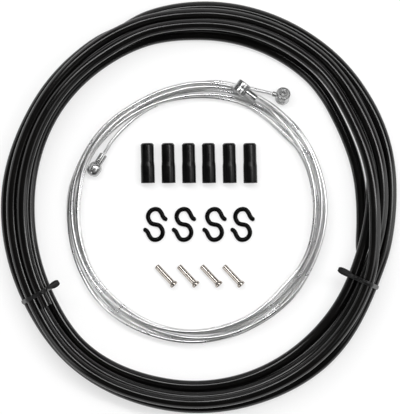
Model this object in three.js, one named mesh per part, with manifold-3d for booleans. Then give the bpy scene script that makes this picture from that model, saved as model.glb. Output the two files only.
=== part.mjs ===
// A bicycle brake cable laid out flat in its pieces, in millimetres, +Z up.
// The coil of outer casing rings everything else; all pieces rest on the plane z = 0.
import * as THREE from 'three';
import { mergeVertices } from 'three/addons/utils/BufferGeometryUtils.js';
import Module from 'manifold-3d';

const wasm = await Module();
wasm.setup();

// Driving dimensions of the outer casing and its coil
const CASING_DIAMETER = 5.0;
const CASING_SPACING = 5.2;
const CASING_SIDES = 8;
const CASING_STEPS_PER_TURN = 48;
const CASING_TURNS = 4.87;
const CASING_RING_RADIUS = 72.0;
const RING_STRETCH_Y = 1.04;

// Driving dimensions of the inner wires and their coil
const WIRE_DIAMETER = 1.6;
const WIRE_SPACING = 1.85;
const WIRE_SIDES = 8;
const WIRE_STEPS_PER_TURN = 36;
const WIRE_COIL_INSET = 17.0;
const WIRE_COIL_RADIUS = CASING_RING_RADIUS - WIRE_COIL_INSET;
const WIRE_COIL_CENTRE = [-2.64, -0.88];
const LONG_WIRE_START_DEG = 140;
const LONG_WIRE_TURNS = 5.194;
const SHORT_WIRE_END_DEG = 50;
const SHORT_WIRE_TURNS = 3.25;

// Heads cast on the wires: barrels across the wire, and a pear shape in line with it
const HEAD_DIAMETER = 6.3;
const HEAD_LENGTH = 5.6;
const HEAD_EDGE = 0.4;
const HEAD_SIDES = 20;
const PEAR_DIAMETER = 5.9;
const NECK_DIAMETER = 3.5;
const NECK_LENGTH = 4.8;
const NECK_EDGE = 0.3;
const NECK_SIDES = 12;
const SHORT_NECK_DIAMETER = 2.4;
const SHORT_NECK_LENGTH = 1.6;
const JOIN_GAP = 0.3;
const LEAD_LENGTH = 2.0;

// Each head's place round the inner coil: its angle, how far outside the coil's radius it is,
// and the roll about its neck
const HEAD_LONG_A = {
  pear: true, deg: 158.2, outside: -8.1, rollDeg: 0, neckDiameter: NECK_DIAMETER, neckLength: NECK_LENGTH,
};
const HEAD_LONG_B = {
  deg: 51.55, outside: 8.45, rollDeg: -60, neckDiameter: SHORT_NECK_DIAMETER, neckLength: SHORT_NECK_LENGTH,
};
const HEAD_SHORT = {
  deg: 68.1, outside: 2.1, rollDeg: 0, neckDiameter: NECK_DIAMETER, neckLength: NECK_LENGTH,
};
const SHORT_HEAD_SPAN_DEG = 14;

// Twist ties round the casing coil: a strap, a twisted knot and a flat tail.
// The tail's outline is in shares of its length and of half its width.
const TIE_ANGLES_DEG = [207.5, 336.5];
const TIE_STRAP_WIDTH = 2.0;
const TIE_STRAP_THICKNESS = 1.0;
const TIE_CLEARANCE = 0.3;
const TIE_CORNERS = 20;
const TIE_LIFT_FULL_DEG = 8;
const TIE_LIFT_END_DEG = 45;
const TIE_KNOT_SIZE = [3.4, 2.4, 3.2];
const TIE_KNOT_SLOPE_DEG = 38;
const TIE_TAIL_WIDTH = 3.0;
const TIE_TAIL_LENGTHS = [8.0, 12.5];
const TIE_TAIL_SLOPE_DEG = 22;
const TIE_TAIL_OUTLINE = [
  [0, -0.6], [0.25, -1], [0.82, -1], [1, -0.2], [1, 0.7], [0.92, 1], [0.25, 1], [0, 0.6],
];

// Ferrules, hollow caps that push over the casing's ends
const FERRULE_LENGTH = 17.6;
const FERRULE_TIP_DIAMETER = 5.75;
const FERRULE_MOUTH_DIAMETER = 6.1;
const FERRULE_BORE_CLEARANCE = 0.12;
const FERRULE_BORE_DEPTH = 14.0;
const FERRULE_WIRE_HOLE_CLEARANCE = 0.6;
const FERRULE_EDGE = 0.5;
const FERRULE_TAPER_START = -1.5;
const FERRULE_TAPER_STOP = 0.7;
const FERRULE_SIDES = 20;
const FERRULE_CENTRES_X = [-22.7, -13.6, -4.55, 4.25, 13.35, 22.45];
const FERRULE_CENTRE_Y = 19.35;
const FERRULE_LEAN_DEG = 1.3;

// S hooks, bent from round rod
const HOOK_ROD_DIAMETER = 2.0;
const HOOK_SIDES = 8;
const HOOK_STEPS = 40;
const HOOK_CENTRES_X = [-19.3, -6.7, 6.8, 19.2];
const HOOK_CENTRE_Y = -7.7;

// End crimps, closed at one end and flared at the other
const CRIMP_LENGTH = 11.8;
const CRIMP_DIAMETER = 2.5;
const CRIMP_BORE_CLEARANCE = 0.1;
const CRIMP_FLARE_DIAMETER = 3.7;
const CRIMP_FLARE_LENGTH = 1.9;
const CRIMP_END_WALL = 0.8;
const CRIMP_EDGE = 0.3;
const CRIMP_LIP = 1.1;
const CRIMP_SIDES = 14;
const CRIMP_FLOOR_GAP = 0.02;
const CRIMP_CENTRES = [[-14.8, -30.3], [-5.0, -30.3], [5.1, -30.3], [14.9, -30.3]];
const CRIMP_DIRECTION_DEG = -47;

// Materials by colour, roughness and metalness
const CASING_BLACK = { color: 0x0d0d0e, roughness: 0.28, metalness: 0.0 };
const TIE_BLACK = { color: 0x161617, roughness: 0.45, metalness: 0.0 };
const FERRULE_BLACK = { color: 0x101011, roughness: 0.5, metalness: 0.0 };
const HOOK_BLACK = { color: 0x0c0c0d, roughness: 0.4, metalness: 0.0 };
const WIRE_STEEL = { color: 0xb9bcbf, roughness: 0.35, metalness: 1.0 };
const HEAD_ZINC = { color: 0x9d9fa1, roughness: 0.42, metalness: 1.0 };
const CRIMP_NICKEL = { color: 0xb7afa6, roughness: 0.25, metalness: 1.0 };

const brakeCable = new THREE.Group();

function addMesh(name, geometry, look) {
  const mesh = new THREE.Mesh(geometry, new THREE.MeshStandardMaterial(look));
  mesh.name = name;
  brakeCable.add(mesh);
  return mesh;
}

// Joins closed geometries into one closed geometry
function toSolid(geometry) {
  const bare = geometry.clone();
  bare.deleteAttribute('normal');
  bare.deleteAttribute('uv');
  const merged = mergeVertices(bare, 1e-5);
  const mesh = new wasm.Mesh({
    numProp: 3,
    vertProperties: new Float32Array(merged.attributes.position.array),
    triVerts: new Uint32Array(merged.index.array),
  });
  return new wasm.Manifold(mesh);
}

function toGeometry(solid) {
  const mesh = solid.getMesh();
  const geometry = new THREE.BufferGeometry();
  geometry.setAttribute('position', new THREE.BufferAttribute(new Float32Array(mesh.vertProperties), 3));
  geometry.setIndex(new THREE.BufferAttribute(new Uint32Array(mesh.triVerts), 1));
  geometry.computeVertexNormals();
  return geometry;
}

// A smooth function through a few [degrees, value] points, without overshoot between them
function alongPath(points) {
  const last = points.length - 1;
  const rise = (index) => {
    const [[a0, v0], [a1, v1]] = points.slice(index, index + 2);
    return (v1 - v0) / (a1 - a0);
  };
  const slopes = points.map((_, index) => {
    if (index === 0 || index === last || rise(index - 1) * rise(index) <= 0) {
      return 0;
    }
    return 2 / (1 / rise(index - 1) + 1 / rise(index));
  });
  return (degrees) => {
    if (degrees <= points[0][0]) {
      return points[0][1];
    }
    for (let index = 0; index < last; index += 1) {
      const [a0, v0] = points[index];
      const [a1, v1] = points[index + 1];
      if (degrees <= a1) {
        const span = a1 - a0;
        const t = (degrees - a0) / span;
        const start = v0 * (1 + 2 * t) + slopes[index] * span * t;
        const stop = v1 * (3 - 2 * t) - slopes[index + 1] * span * (1 - t);
        return start * (1 - t) ** 2 + stop * t ** 2;
      }
    }
    return points[last][1];
  };
}

// The same, closed round the ring
function aroundRing(points) {
  const shifted = ([degrees, value], turn) => [degrees + turn, value];
  const closed = alongPath([
    shifted(points.at(-1), -360),
    ...points,
    shifted(points[0], 360),
    shifted(points[1], 360),
  ]);
  const start = points[0][0];
  return (degrees) => closed(start + THREE.MathUtils.euclideanModulo(degrees - start, 360));
}

// How far one direction is from another, in degrees
function awayFrom(degrees, other) {
  return Math.abs(THREE.MathUtils.euclideanModulo(degrees - other + 180, 360) - 180);
}

// Raises each level to its highest neighbour within the window, then evens the result out
function smoothLevels(levels, windowSize) {
  const around = (list, index) => list.slice(Math.max(0, index - windowSize), index + windowSize + 1);
  const tops = levels.map((_, index) => Math.max(...around(levels, index)));
  return levels.map((_, index) => {
    const part = around(tops, index);
    return part.reduce((sum, value) => sum + value, 0) / part.length;
  });
}

// Lays turns on the floor and on each other, one station after another.
// Every path is a list of { slot, radius, least }, where slot counts the stations round the ring,
// so two stations with the same slot lie at the same angle and can be compared there.
// A window of stations is lifted together, which gives long low humps where turns cross.
function layTurns(paths, { floorAt, spacing, windowSize, passes }) {
  const laid = new Map();
  for (const { perTurn, stations } of paths) {
    const heights = stations.map(() => 0);
    const restingHeight = (station, index) => {
      const below = [...(laid.get(station.slot) || [])];
      for (let earlier = index - perTurn; earlier >= 0; earlier -= perTurn) {
        below.push({ radius: stations[earlier].radius, height: heights[earlier] });
      }
      let height = Math.max(floorAt(station), station.least);
      for (const other of below) {
        const aside = Math.abs(other.radius - station.radius);
        if (aside < spacing) {
          height = Math.max(height, other.height + Math.sqrt(spacing ** 2 - aside ** 2));
        }
      }
      return height;
    };
    const reach = windowSize * 2 * passes;
    const raw = [];
    const settle = (index) => {
      const from = Math.max(0, index - reach);
      let levels = raw.slice(from);
      for (let pass = 0; pass < passes; pass += 1) {
        levels = smoothLevels(levels, windowSize);
      }
      heights[index] = levels[index - from];
    };
    stations.forEach((station, index) => {
      raw.push(restingHeight(station, index));
      if (index >= reach) {
        settle(index - reach);
      }
    });
    for (let index = Math.max(0, stations.length - reach); index < stations.length; index += 1) {
      settle(index);
    }
    stations.forEach((station, index) => {
      station.height = heights[index];
      laid.set(station.slot, [...(laid.get(station.slot) || []), station]);
    });
  }
}

// A curve whose steps fall on its stations
class StationCurve extends THREE.Curve {
  constructor(points) {
    super();
    this.spline = new THREE.CatmullRomCurve3(points, false, 'catmullrom', 0.5);
  }

  getPoint(share, target = new THREE.Vector3()) {
    return this.spline.getPoint(share, target);
  }

  getPointAt(share, target) {
    return this.getPoint(share, target);
  }

  getTangentAt(share, target) {
    return this.getTangent(share, target);
  }
}

function roundSection(diameter, sides) {
  const section = new THREE.Shape();
  for (let side = 0; side < sides; side += 1) {
    const angle = (2 * Math.PI * (side + 0.5)) / sides;
    const x = (diameter / 2) * Math.cos(angle);
    const y = (diameter / 2) * Math.sin(angle);
    if (side === 0) {
      section.moveTo(x, y);
    } else {
      section.lineTo(x, y);
    }
  }
  section.closePath();
  return section;
}

function tubeThrough(points, diameter, sides) {
  return new THREE.ExtrudeGeometry(roundSection(diameter, sides), {
    extrudePath: new StationCurve(points),
    steps: points.length - 1,
    bevelEnabled: false,
  });
}

// The casing's coil. Each row holds the angle, how far the coil's inner edge is outside the ring's
// radius, and each turn's place outwards from that edge in casing diameters.
// The last rows carry on from the first ones: a turn ends where the next one starts.
const CASING_ROWS = [
  [257, 1.8, [0.85, 0.0, 1.74, 0.87, 1.3]],
  [285, 0.8, [0.9, 0.0, 1.92, 0.95, 1.35]],
  [310, 0.0, [1.0, 0.0, 2.2, 1.03, 1.45]],
  [336, -0.65, [0.9, 0.0, 1.82, 0.9, 1.3]],
  [348, -1.9, [0.1, 0.3, 2.2, 1.3, 1.15]],
  [360, -2.9, [0.0, 0.75, 2.55, 1.75, 1.0]],
  [385, -3.15, [0.0, 1.45, 3.04, 2.05, 1.0]],
  [410, -1.0, [0.0, 1.4, 2.58, 1.9, 0.9]],
  [450, -1.4, [0.0, 1.25, 2.28, 1.65, 0.75]],
  [470, -0.25, [0.0, 1.4, 1.74, 1.5, 0.6]],
  [480, -0.1, [0.0, 1.69, 1.2, 1.45, 0.45]],
  [510, 0.8, [0.0, 1.64, 0.82, 1.23, 0.41]],
  [540, 0.4, [0.0, 2.0, 0.95, 1.43, 0.48]],
  [567, 1.5, [0.0, 1.79, 0.9, 1.34, 0.45]],
  [590, 3.7, [0.0, 1.55, 0.78, 1.3, 0.36]],
];

function casingPath() {
  const edgeAt = aroundRing(CASING_ROWS.map(([angle, outside]) => [angle, CASING_RING_RADIUS + outside]));
  const lanePoints = [];
  for (let turn = 0; turn < Math.ceil(CASING_TURNS); turn += 1) {
    for (const [angle, , places] of CASING_ROWS) {
      lanePoints.push([angle + 360 * turn, places[turn]]);
    }
  }
  const laneAt = alongPath(lanePoints);
  const stepDeg = 360 / CASING_STEPS_PER_TURN;
  const count = Math.round(CASING_TURNS * CASING_STEPS_PER_TURN);
  const stations = [];
  for (let index = 0; index <= count; index += 1) {
    const degrees = CASING_ROWS[0][0] + index * stepDeg;
    stations.push({
      slot: index % CASING_STEPS_PER_TURN,
      degrees,
      radius: edgeAt(degrees) + CASING_DIAMETER * (0.5 + laneAt(degrees)),
      least: 0,
    });
  }
  return { perTurn: CASING_STEPS_PER_TURN, stations };
}

// The coil stands off the floor by the strap that passes under it at each tie
function tieLift(degrees) {
  const nearest = Math.min(...TIE_ANGLES_DEG.map((tieAngle) => awayFrom(degrees, tieAngle)));
  const lift = 1 - THREE.MathUtils.smoothstep(nearest, TIE_LIFT_FULL_DEG, TIE_LIFT_END_DEG);
  return lift * (TIE_STRAP_THICKNESS + TIE_CLEARANCE);
}

const casing = casingPath();
layTurns([casing], {
  floorAt: ({ degrees }) => CASING_DIAMETER / 2 + tieLift(degrees),
  spacing: CASING_SPACING,
  windowSize: 1,
  passes: 2,
});
const casingPoints = casing.stations.map(({ degrees, radius, height }) => {
  const angle = THREE.MathUtils.degToRad(degrees);
  return new THREE.Vector3(radius * Math.cos(angle), RING_STRETCH_Y * radius * Math.sin(angle), height);
});
addMesh('outer_casing', tubeThrough(casingPoints, CASING_DIAMETER, CASING_SIDES), CASING_BLACK);

// How far the inner coil's middle is outside its radius, and how far its turns wander from there
const WIRE_MIDDLE = aroundRing([
  [0, 0.65], [24, 0.7], [42, -0.3], [60, -0.75], [84, -2.3], [108, -3.8], [120, -4.0], [138, -3.3],
  [156, -2.6], [174, -2.4], [192, -1.7], [210, -0.5], [228, 0.4], [252, 0.9], [276, 1.3], [300, 0.85],
  [318, 0.5], [336, 0.8],
]);
const WIRE_WANDER = aroundRing([
  [0, 2.7], [24, 2.5], [42, 3.6], [60, 3.1], [84, 3.1], [108, 2.3], [120, 1.9], [138, 1.9], [156, 1.6],
  [174, 2.5], [192, 2.4], [210, 2.4], [228, 3.0], [252, 2.6], [276, 2.8], [300, 2.7], [318, 3.2],
  [336, 2.2],
]);
const LONG_WIRE_WANDER = { rate: 0.775, phase: 200 };
const SHORT_WIRE_WANDER = { rate: 0.81, phase: 120 };

// How each wire leaves the coil towards a head: its place there, and the stretches over which
// it moves aside and rises
const LONG_WIRE_START = { outside: -8.4, overDeg: 50, riseDeg: 40 };
const LONG_WIRE_STOP = { outside: 2.8, overDeg: 40, riseDeg: 30 };
const SHORT_WIRE_STOP = { outside: 0.0, overDeg: 30, riseDeg: 40, height: 6.5 };

// How high a head's middle is when the head rests on something
function restHeight({ pear, rollDeg }) {
  if (pear) {
    return PEAR_DIAMETER / 2;
  }
  const roll = THREE.MathUtils.degToRad(rollDeg);
  return (HEAD_LENGTH / 2) * Math.abs(Math.sin(roll)) + (HEAD_DIAMETER / 2) * Math.cos(roll);
}

function wirePath({ startDeg, turns, direction, wander, starts, stops }) {
  const stepDeg = 360 / WIRE_STEPS_PER_TURN;
  const count = Math.round(turns * WIRE_STEPS_PER_TURN);
  const firstSlot = Math.round(startDeg / stepDeg);
  const stations = [];
  for (let index = 0; index <= count; index += 1) {
    const degrees = (firstSlot + direction * index) * stepDeg;
    const along = index * stepDeg;
    const swing = Math.sin(THREE.MathUtils.degToRad(wander.rate * along + wander.phase));
    let outside = WIRE_MIDDLE(degrees) + WIRE_WANDER(degrees) * swing;
    let least = 0;
    for (const [end, away] of [[starts, along], [stops, count * stepDeg - along]]) {
      if (end) {
        const coiled = THREE.MathUtils.smoothstep(away, 0, end.overDeg);
        const lowered = THREE.MathUtils.smoothstep(away, 0, end.riseDeg);
        outside = THREE.MathUtils.lerp(end.outside, outside, coiled);
        least = Math.max(least, end.height * (1 - lowered));
      }
    }
    stations.push({
      slot: THREE.MathUtils.euclideanModulo(firstSlot + direction * index, WIRE_STEPS_PER_TURN),
      degrees,
      radius: WIRE_COIL_RADIUS + outside,
      least,
    });
  }
  return { perTurn: WIRE_STEPS_PER_TURN, stations };
}

const longWire = wirePath({
  startDeg: LONG_WIRE_START_DEG,
  turns: LONG_WIRE_TURNS,
  direction: -1,
  wander: LONG_WIRE_WANDER,
  starts: { ...LONG_WIRE_START, height: restHeight(HEAD_LONG_A) },
  stops: { ...LONG_WIRE_STOP, height: restHeight(HEAD_LONG_B) },
});
const shortWire = wirePath({
  startDeg: SHORT_WIRE_END_DEG - 360 * SHORT_WIRE_TURNS,
  turns: SHORT_WIRE_TURNS,
  direction: 1,
  wander: SHORT_WIRE_WANDER,
  stops: SHORT_WIRE_STOP,
});
layTurns([longWire, shortWire], {
  floorAt: () => WIRE_DIAMETER / 2,
  spacing: WIRE_SPACING,
  windowSize: 1,
  passes: 1,
});

function coilPoint({ degrees, radius, height }) {
  const angle = THREE.MathUtils.degToRad(degrees);
  return new THREE.Vector3(
    WIRE_COIL_CENTRE[0] + radius * Math.cos(angle),
    WIRE_COIL_CENTRE[1] + radius * Math.sin(angle),
    height,
  );
}

// Where a head lies: its middle, and the way that its neck points, towards its wire's last station
function placeOf(head, station, below) {
  const supports = below.map(({ height }) => height + WIRE_DIAMETER / 2 + JOIN_GAP);
  const height = restHeight(head) + Math.max(0, ...supports);
  const centre = coilPoint({ degrees: head.deg, radius: WIRE_COIL_RADIUS + head.outside, height });
  const towards = coilPoint(station);
  return { centre, neckAngle: Math.atan2(towards.y - centre.y, towards.x - centre.x) };
}

// The short straight lead of wire that comes out of a head's neck, from its cut end on
function leadOut({ neckLength }, { centre, neckAngle }) {
  const start = HEAD_DIAMETER / 2 + neckLength + JOIN_GAP;
  return [start, start + LEAD_LENGTH].map((distance) => {
    const step = new THREE.Vector3(distance * Math.cos(neckAngle), distance * Math.sin(neckAngle), 0);
    return centre.clone().add(step);
  });
}

const lowerTurns = [...longWire.stations, ...shortWire.stations.slice(0, -WIRE_STEPS_PER_TURN / 2)];
const turnsUnderShortHead = lowerTurns.filter(({ degrees }) => {
  return awayFrom(degrees, HEAD_SHORT.deg) < SHORT_HEAD_SPAN_DEG;
});
const placeLongA = placeOf(HEAD_LONG_A, longWire.stations[0], []);
const placeLongB = placeOf(HEAD_LONG_B, longWire.stations.at(-1), []);
const placeShort = placeOf(HEAD_SHORT, shortWire.stations.at(-1), turnsUnderShortHead);
const longWirePoints = [
  ...leadOut(HEAD_LONG_A, placeLongA),
  ...longWire.stations.map(coilPoint),
  ...leadOut(HEAD_LONG_B, placeLongB).reverse(),
];
const shortWirePoints = [
  ...shortWire.stations.map(coilPoint),
  ...leadOut(HEAD_SHORT, placeShort).reverse(),
];
addMesh('inner_wire_long', tubeThrough(longWirePoints, WIRE_DIAMETER, WIRE_SIDES), WIRE_STEEL);
addMesh('inner_wire_short', tubeThrough(shortWirePoints, WIRE_DIAMETER, WIRE_SIDES), WIRE_STEEL);

function turned(profile, sides) {
  return new THREE.LatheGeometry(profile.map(([x, y]) => new THREE.Vector2(x, y)), sides);
}

// The pear's outline from its round end to its neck, in shares of its length and of its radius
const PEAR_OUTLINE = [
  [-0.5, 0], [-0.46, 0.55], [-0.34, 0.88], [-0.14, 1], [0.14, 1], [0.34, 0.9], [0.46, 0.7],
];

// A head's neck points along +X from the head's middle, and a barrel's axis is Y
function headGeometry({ pear, neckDiameter, neckLength }) {
  const radius = HEAD_DIAMETER / 2;
  const half = HEAD_LENGTH / 2;
  const neckRadius = neckDiameter / 2;
  const reach = radius + neckLength;
  const barrelOutline = [
    [0, -half],
    [radius - HEAD_EDGE, -half],
    [radius, -half + HEAD_EDGE],
    [radius, half - HEAD_EDGE],
    [radius - HEAD_EDGE, half],
    [0, half],
  ];
  const pearOutline = PEAR_OUTLINE.map(([along, aside]) => {
    return [(aside * PEAR_DIAMETER) / 2, along * HEAD_DIAMETER];
  });
  const body = turned(pear ? [...pearOutline, [0, radius]] : barrelOutline, HEAD_SIDES);
  const neck = turned([
    [0, 0],
    [neckRadius, 0],
    [neckRadius, reach - NECK_EDGE],
    [neckRadius - NECK_EDGE, reach],
    [0, reach],
  ], NECK_SIDES);
  neck.rotateZ(-Math.PI / 2);
  if (pear) {
    body.rotateZ(-Math.PI / 2);
  }
  return toGeometry(toSolid(body).add(toSolid(neck)));
}

function addHead(name, head, { centre, neckAngle }) {
  const mesh = addMesh(name, headGeometry(head), HEAD_ZINC);
  mesh.rotation.set(THREE.MathUtils.degToRad(head.rollDeg), 0, neckAngle, 'ZYX');
  mesh.position.copy(centre);
}

addHead('head_long_a', HEAD_LONG_A, placeLongA);
addHead('head_long_b', HEAD_LONG_B, placeLongB);
addHead('head_short', HEAD_SHORT, placeShort);

// The outline round a set of circles, as an anticlockwise list of points
function outlineRound(centres, radius, samples) {
  const points = [];
  for (const [x, y] of centres) {
    for (let index = 0; index < samples; index += 1) {
      const angle = (2 * Math.PI * index) / samples;
      points.push([x + radius * Math.cos(angle), y + radius * Math.sin(angle)]);
    }
  }
  points.sort((a, b) => a[0] - b[0] || a[1] - b[1]);
  const turn = (o, a, b) => (a[0] - o[0]) * (b[1] - o[1]) - (a[1] - o[1]) * (b[0] - o[0]);
  const half = (list) => {
    const chain = [];
    for (const point of list) {
      while (chain.length > 1 && turn(chain.at(-2), chain.at(-1), point) <= 1e-6) {
        chain.pop();
      }
      chain.push(point);
    }
    chain.pop();
    return chain;
  };
  return [...half(points), ...half([...points].reverse())];
}

function tieStrap(centres) {
  const roundedOff = 1 / Math.cos(Math.PI / TIE_CORNERS);
  const innerRadius = (CASING_DIAMETER / 2 + TIE_CLEARANCE) * roundedOff;
  const outer = outlineRound(centres, innerRadius + TIE_STRAP_THICKNESS, TIE_CORNERS);
  const inner = outlineRound(centres, innerRadius, TIE_CORNERS);
  const toVectors = (list) => list.map(([x, y]) => new THREE.Vector2(x, y));
  const shape = new THREE.Shape(toVectors(outer));
  shape.holes.push(new THREE.Path(toVectors(inner)));
  const strap = new THREE.ExtrudeGeometry(shape, { depth: TIE_STRAP_WIDTH, bevelEnabled: false });
  strap.translate(0, 0, -TIE_STRAP_WIDTH / 2);
  const shoulder = outer.reduce((best, point) => (point[1] - point[0] > best[1] - best[0] ? point : best));
  return { strap, shoulder };
}

// The knot sits on the strap's upper inner shoulder, and the tail runs on inwards from it
function tie(name, tieAngle, tailLength) {
  const around = casing.stations.filter(({ degrees }) => {
    return awayFrom(degrees, tieAngle) <= 180 / CASING_STEPS_PER_TURN + 1e-6;
  });
  const { strap, shoulder } = tieStrap(around.map(({ radius, height }) => [radius, height]));
  const [knotWidth, knotHeight, knotDepth] = TIE_KNOT_SIZE;
  const knot = new THREE.BoxGeometry(knotWidth, knotHeight, knotDepth);
  knot.translate(0, knotHeight / 2 - TIE_STRAP_THICKNESS, 0);
  knot.rotateZ(THREE.MathUtils.degToRad(TIE_KNOT_SLOPE_DEG));
  knot.translate(shoulder[0], shoulder[1], 0);
  const tailShape = new THREE.Shape(TIE_TAIL_OUTLINE.map(([along, aside]) => {
    return new THREE.Vector2(-along * tailLength, (aside * TIE_TAIL_WIDTH) / 2);
  }));
  const tail = new THREE.ExtrudeGeometry(tailShape, { depth: TIE_STRAP_THICKNESS, bevelEnabled: false });
  tail.rotateX(Math.PI / 2);
  tail.rotateZ(THREE.MathUtils.degToRad(TIE_TAIL_SLOPE_DEG));
  tail.translate(shoulder[0] - knotWidth / 5, shoulder[1] + knotHeight / 10, 0);

  const angle = THREE.MathUtils.degToRad(tieAngle);
  const outward = new THREE.Vector3(Math.cos(angle), RING_STRETCH_Y * Math.sin(angle), 0);
  const stretch = outward.length();
  outward.normalize();
  const up = new THREE.Vector3(0, 0, 1);
  const across = new THREE.Vector3().crossVectors(outward, up);
  const middle = around.reduce((sum, { radius }) => sum + radius, 0) / around.length;
  const mesh = addMesh(name, toGeometry(toSolid(strap).add(toSolid(knot)).add(toSolid(tail))), TIE_BLACK);
  mesh.quaternion.setFromRotationMatrix(new THREE.Matrix4().makeBasis(outward, up, across));
  mesh.position.copy(outward).multiplyScalar(middle * (stretch - 1));
}

tie('tie_left', TIE_ANGLES_DEG[0], TIE_TAIL_LENGTHS[0]);
tie('tie_right', TIE_ANGLES_DEG[1], TIE_TAIL_LENGTHS[1]);

// Ferrules lie in a row, their axes leaning a little from Y and their open mouths towards -Y
function ferrule() {
  const mouth = FERRULE_MOUTH_DIAMETER / 2;
  const tip = FERRULE_TIP_DIAMETER / 2;
  const bore = CASING_DIAMETER / 2 + FERRULE_BORE_CLEARANCE;
  const wireHole = WIRE_DIAMETER / 2 + FERRULE_WIRE_HOLE_CLEARANCE / 2;
  const half = FERRULE_LENGTH / 2;
  return turned([
    [bore, -half],
    [mouth, -half],
    [mouth, FERRULE_TAPER_START],
    [tip, FERRULE_TAPER_STOP],
    [tip, half - FERRULE_EDGE],
    [tip - FERRULE_EDGE, half],
    [wireHole, half],
    [wireHole, -half + FERRULE_BORE_DEPTH],
    [bore, -half + FERRULE_BORE_DEPTH],
    [bore, -half],
  ], FERRULE_SIDES);
}

FERRULE_CENTRES_X.forEach((x, index) => {
  const mesh = addMesh(`ferrule_${index + 1}`, ferrule(), FERRULE_BLACK);
  mesh.rotation.z = THREE.MathUtils.degToRad(FERRULE_LEAN_DEG);
  mesh.position.set(x, FERRULE_CENTRE_Y, FERRULE_MOUTH_DIAMETER / 2);
});

// Half of the S hook's middle line, from its middle to its upper tip
const HOOK_HALF = [
  [1.28, -0.29], [0, 0], [-1.28, 0.29], [-2.16, 0.88], [-2.95, 2.16], [-3.24, 3.54], [-2.85, 5.01],
  [-1.67, 6.28], [0, 6.78], [1.57, 6.38], [2.65, 5.01], [3.24, 3.73], [3.93, 2.75], [4.65, 2.35],
  [5.4, 2.2],
];

function hook() {
  const upper = HOOK_HALF.slice(1);
  const lower = upper.slice(1).reverse().map(([x, y]) => [-x, -y]);
  const points = [...lower, ...upper].map(([x, y]) => new THREE.Vector3(x, y, 0));
  const curve = new THREE.CatmullRomCurve3(points, false, 'centripetal');
  return new THREE.ExtrudeGeometry(roundSection(HOOK_ROD_DIAMETER, HOOK_SIDES), {
    extrudePath: curve,
    steps: HOOK_STEPS,
    bevelEnabled: false,
  });
}

HOOK_CENTRES_X.forEach((x, index) => {
  const mesh = addMesh(`hook_${index + 1}`, hook(), HOOK_BLACK);
  mesh.position.set(x, HOOK_CENTRE_Y, HOOK_ROD_DIAMETER / 2);
});

// Crimps lie with their flared mouths towards the lower right, tipped onto flare and tube end
function crimp() {
  const tube = CRIMP_DIAMETER / 2;
  const bore = WIRE_DIAMETER / 2 + CRIMP_BORE_CLEARANCE;
  const flare = CRIMP_FLARE_DIAMETER / 2;
  const wall = tube - bore;
  const half = CRIMP_LENGTH / 2;
  const geometry = turned([
    [0, -half],
    [tube - CRIMP_EDGE, -half],
    [tube, -half + CRIMP_EDGE],
    [tube, half - CRIMP_FLARE_LENGTH],
    [flare, half - CRIMP_LIP],
    [flare, half - CRIMP_EDGE],
    [flare - CRIMP_EDGE, half],
    [flare - 2 * wall, half],
    [bore, half - CRIMP_FLARE_LENGTH],
    [bore, -half + CRIMP_END_WALL],
    [0, -half + CRIMP_END_WALL],
  ], CRIMP_SIDES);
  geometry.rotateZ(-Math.PI / 2);
  return geometry;
}

CRIMP_CENTRES.forEach(([x, y], index) => {
  const mesh = addMesh(`crimp_${index + 1}`, crimp(), CRIMP_NICKEL);
  const tilt = Math.asin((CRIMP_FLARE_DIAMETER - CRIMP_DIAMETER) / 2 / (CRIMP_LENGTH - CRIMP_LIP));
  const height = (CRIMP_DIAMETER / 2) * Math.cos(tilt) + (CRIMP_LENGTH / 2) * Math.sin(tilt);
  mesh.rotation.set(0, -tilt, THREE.MathUtils.degToRad(CRIMP_DIRECTION_DEG), 'ZYX');
  mesh.position.set(x, y, height + CRIMP_FLOOR_GAP);
});

export default brakeCable;
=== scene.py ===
"""A bicycle brake cable laid out flat in its pieces: looks, light and camera."""
import math
from collections import namedtuple

import bmesh
import bpy
from mathutils import Matrix, Vector

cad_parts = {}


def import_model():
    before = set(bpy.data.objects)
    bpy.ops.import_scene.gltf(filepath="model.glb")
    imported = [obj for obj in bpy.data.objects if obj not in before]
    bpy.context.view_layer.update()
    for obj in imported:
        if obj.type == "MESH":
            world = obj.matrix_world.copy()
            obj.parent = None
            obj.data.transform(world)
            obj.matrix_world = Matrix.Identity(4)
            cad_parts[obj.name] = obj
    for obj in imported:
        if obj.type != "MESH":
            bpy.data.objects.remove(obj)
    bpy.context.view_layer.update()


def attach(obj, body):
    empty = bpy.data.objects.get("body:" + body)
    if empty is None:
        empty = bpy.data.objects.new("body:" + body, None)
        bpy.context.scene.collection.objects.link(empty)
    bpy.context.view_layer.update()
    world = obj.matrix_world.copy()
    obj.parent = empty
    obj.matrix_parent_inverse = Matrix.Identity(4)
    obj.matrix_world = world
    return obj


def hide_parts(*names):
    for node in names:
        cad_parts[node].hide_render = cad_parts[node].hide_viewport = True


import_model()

MM = 0.001

# ---------------------------------------------------------------- camera

# What the picture's height spans at the focus height, in millimetres
PHOTO_HEIGHT_MM = 182.2
CAMERA_LENS = 280.0
CAMERA_SENSOR = 36.0
CAMERA_CENTRE = (0.4, 0.0)
FOCUS_HEIGHT = 5.0

camera_data = bpy.data.cameras.new("camera")
camera_data.lens = CAMERA_LENS
camera_data.sensor_width = CAMERA_SENSOR
camera_data.clip_start = 0.01
camera_data.clip_end = 20.0
camera = bpy.data.objects.new("camera", camera_data)
bpy.context.scene.collection.objects.link(camera)
camera_distance = PHOTO_HEIGHT_MM * CAMERA_LENS / CAMERA_SENSOR
camera.location = Vector((CAMERA_CENTRE[0], CAMERA_CENTRE[1], FOCUS_HEIGHT + camera_distance)) * MM
bpy.context.scene.camera = camera

# ---------------------------------------------------------------- routes of the cords, in millimetres

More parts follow.
